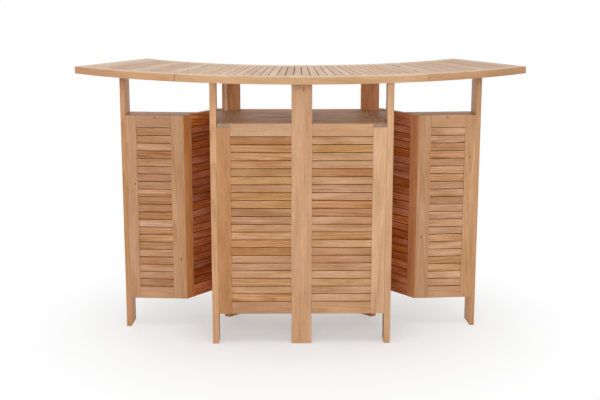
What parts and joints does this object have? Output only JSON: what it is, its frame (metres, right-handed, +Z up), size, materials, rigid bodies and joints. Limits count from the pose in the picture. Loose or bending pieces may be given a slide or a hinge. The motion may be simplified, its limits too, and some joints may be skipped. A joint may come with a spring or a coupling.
{
  "type": "folding outdoor bar table",
  "caption": "Curved slatted wooden garden bar with flip-over top leaves, a shelved cabinet and two slatted wings that carry the leaves and swing round behind it.",
  "frame": {"origin": "on the floor, under the centre of the box round the opened bar", "axes": "+X to the user's right across the bar's width, +Y from the curved front to the barkeeper's side, +Z up"},
  "size_m": [1.812, 0.6339, 1.0727],
  "materials": {
    "frame_wood": "oiled satin",
    "slat_wood": "oiled satin",
    "shelf_wood": "oiled satin",
    "hinge_brass": "satin"
  },
  "bodies": {
    "cabinet": {"front_centre_post": "frame_wood", "front_panel_rails_left": "frame_wood", "front_panel_rails_right": "frame_wood", "front_panel_slats_left": "slat_wood", "front_panel_slats_right": "slat_wood", "front_panel_stile_left": "frame_wood", "front_panel_stile_right": "frame_wood", "front_post_left": "frame_wood", "front_post_right": "frame_wood", "leaf_hinge_fixed_halves_left": "hinge_brass", "leaf_hinge_fixed_halves_right": "hinge_brass", "lower_shelf_boards": "shelf_wood", "lower_shelf_side_board_left": "frame_wood", "lower_shelf_side_board_right": "frame_wood", "rear_post_left": "frame_wood", "rear_post_right": "frame_wood", "top_centre_bearers": "frame_wood", "top_centre_end_rails": "frame_wood", "top_centre_front_rim": "frame_wood", "top_centre_rear_rim": "frame_wood", "top_centre_slats": "slat_wood", "upper_shelf_boards": "shelf_wood", "upper_shelf_side_board_left": "frame_wood", "upper_shelf_side_board_right": "frame_wood", "wing_hanging_block_left": "frame_wood", "wing_hanging_block_right": "frame_wood", "wing_hinge_fixed_halves_left": "hinge_brass", "wing_hinge_fixed_halves_right": "hinge_brass"},
    "leaf_left": {"leaf_front_rim_left": "frame_wood", "leaf_rear_rim_left": "frame_wood", "leaf_end_rails_left": "frame_wood", "leaf_bearers_left": "frame_wood", "leaf_slats_left": "slat_wood", "leaf_hinge_moving_halves_left": "hinge_brass"},
    "wing_left": {"wing_inner_stiles_left": "frame_wood", "wing_inner_rails_left": "frame_wood", "wing_inner_slats_left": "slat_wood", "wing_outer_stiles_left": "frame_wood", "wing_outer_rails_left": "frame_wood", "wing_outer_slats_left": "slat_wood", "wing_ledge_left": "frame_wood", "wing_leg_left": "frame_wood", "wing_hinge_moving_halves_left": "hinge_brass"},
    "leaf_right": {"leaf_front_rim_right": "frame_wood", "leaf_rear_rim_right": "frame_wood", "leaf_end_rails_right": "frame_wood", "leaf_bearers_right": "frame_wood", "leaf_slats_right": "slat_wood", "leaf_hinge_moving_halves_right": "hinge_brass"},
    "wing_right": {"wing_inner_stiles_right": "frame_wood", "wing_inner_rails_right": "frame_wood", "wing_inner_slats_right": "slat_wood", "wing_outer_stiles_right": "frame_wood", "wing_outer_rails_right": "frame_wood", "wing_outer_slats_right": "slat_wood", "wing_ledge_right": "frame_wood", "wing_leg_right": "frame_wood", "wing_hinge_moving_halves_right": "hinge_brass"}
  },
  "joints": [
    {"name": "leaf_flip_right", "type": "hinge", "parent": "cabinet", "child": "leaf_right", "pos_m": [0.41685, -0.04663, 1.0702], "axis": [0.3567, -0.9342, 0], "range_deg": [0, 180]},
    {"name": "wing_swing_right", "type": "hinge", "parent": "cabinet", "child": "wing_right", "pos_m": [0.35521, 0.1185, 0.5], "axis": [0, 0, 1], "range_deg": [0, 174]},
    {"name": "leaf_flip_left", "type": "hinge", "parent": "cabinet", "child": "leaf_left", "pos_m": [-0.41685, -0.04663, 1.0702], "axis": [0.3567, 0.9342, 0], "range_deg": [0, 180]},
    {"name": "wing_swing_left", "type": "hinge", "parent": "cabinet", "child": "wing_left", "pos_m": [-0.35521, 0.1185, 0.5], "axis": [0, 0, -1], "range_deg": [0, 174]}
  ]
}
